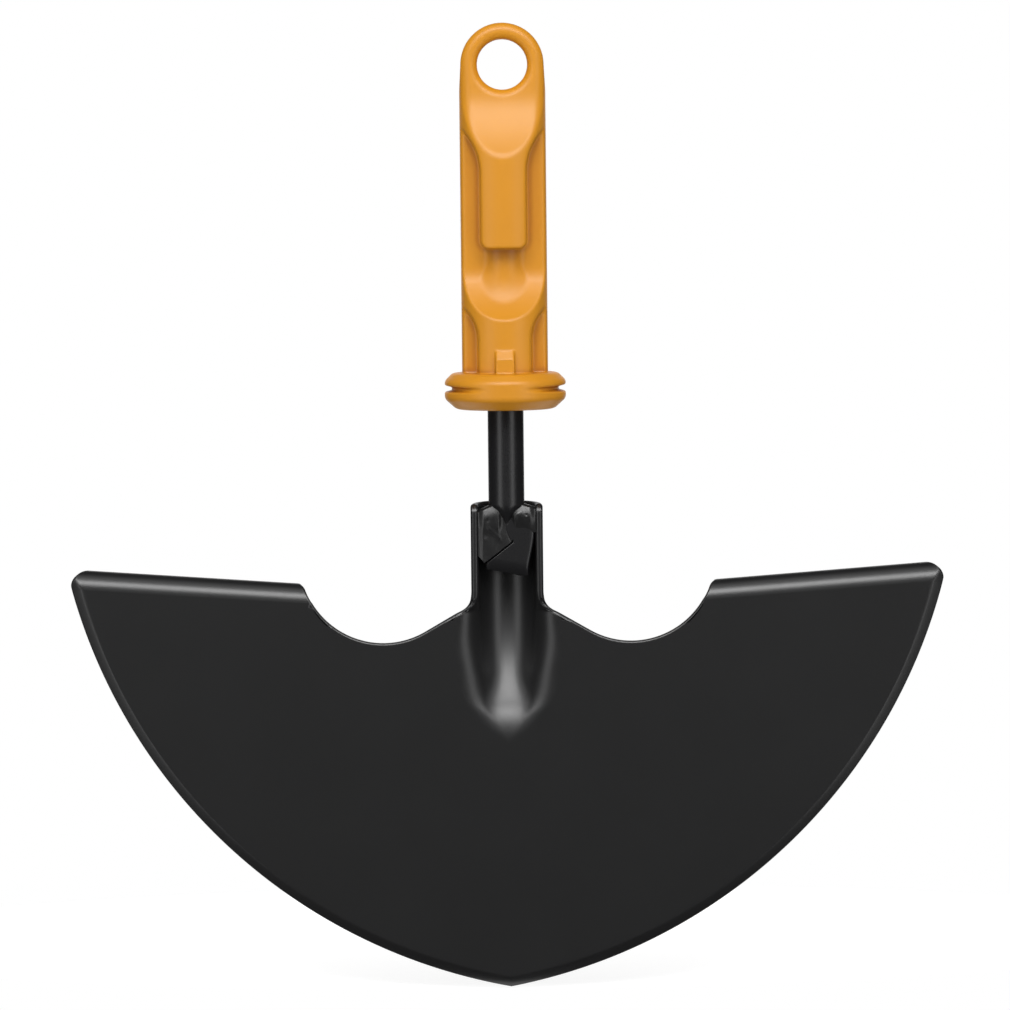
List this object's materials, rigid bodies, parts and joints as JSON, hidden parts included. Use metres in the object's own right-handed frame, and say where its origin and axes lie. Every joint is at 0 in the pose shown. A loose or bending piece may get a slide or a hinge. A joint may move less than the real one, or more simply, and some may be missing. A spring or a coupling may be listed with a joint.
{
  "type": "half moon edger head",
  "caption": "Half moon lawn edger head: pressed steel crescent blade with rolled foot treads, welded to a round bar moulded into a plastic coupling plug with collar, catch and hanging hole.",
  "frame": {"origin": "on the coupling plug's axis at the collar's seat face, where the end of a handle stops", "axes": "+Z along the plug towards the hanging hole, the blade hangs towards -Z, the blade's face and the catch look towards -Y, +X runs along the treads"},
  "size_m": [0.2308, 0.032, 0.2553],
  "materials": {
    "black_coated_steel": "satin black powder coat",
    "black_coated_bar": "satin black powder coat",
    "black_coated_weld": "black powder coat over rough weld",
    "orange_plastic": "satin moulded plastic"
  },
  "bodies": {
    "root": {"blade": "black_coated_steel", "tang_rod": "black_coated_bar", "weld_left": "black_coated_weld", "weld_right": "black_coated_weld", "coupling_plug": "orange_plastic"}
  },
  "joints": []
}
